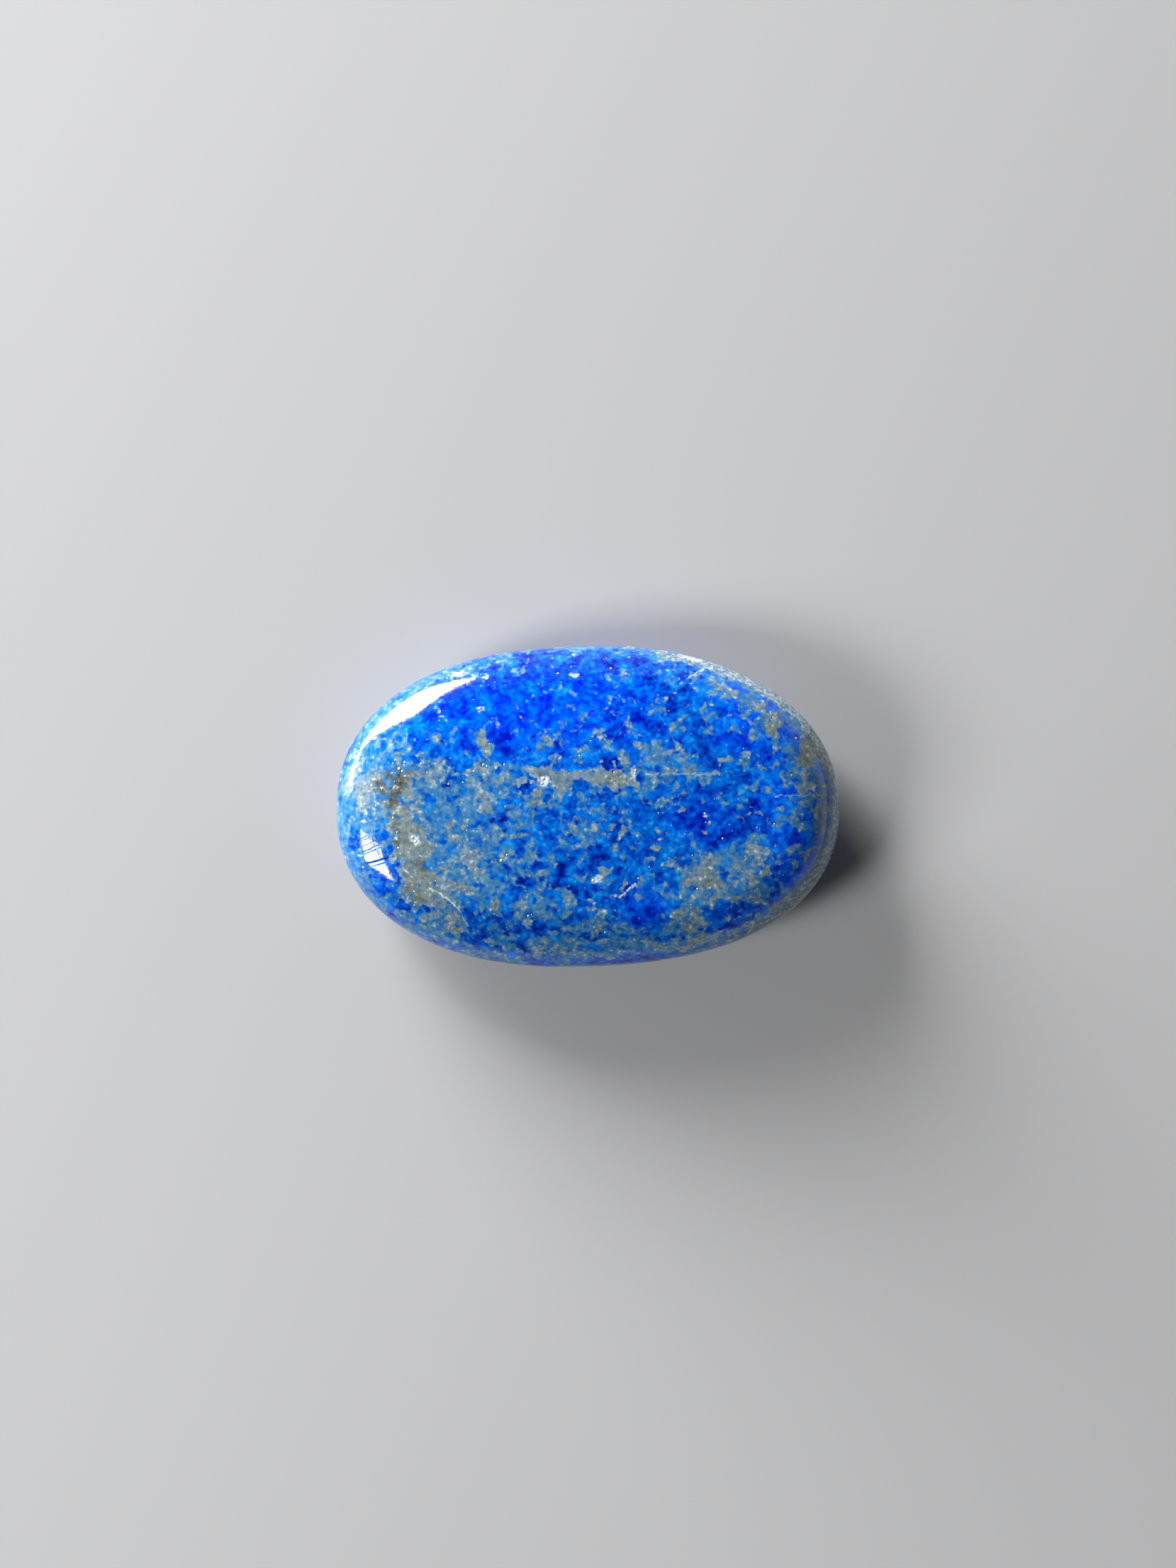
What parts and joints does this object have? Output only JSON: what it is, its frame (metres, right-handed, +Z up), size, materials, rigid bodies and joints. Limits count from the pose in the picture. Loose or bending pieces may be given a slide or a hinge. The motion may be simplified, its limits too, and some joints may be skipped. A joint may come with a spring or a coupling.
{
  "type": "polished lapis lazuli palm stone",
  "caption": "Flat oval lapis lazuli pebble with rounded, polished edges; lies on a small flat spot underneath.",
  "frame": {"origin": "middle of the bounding box in plan, on the surface that the stone lies on", "axes": "+X along the stone's length, +Y across its width, +Z up through its thickness"},
  "size_m": [0.032, 0.0204, 0.007],
  "materials": {
    "polished_lapis": "polished"
  },
  "bodies": {
    "root": {"lapis_stone": "polished_lapis"}
  },
  "joints": []
}
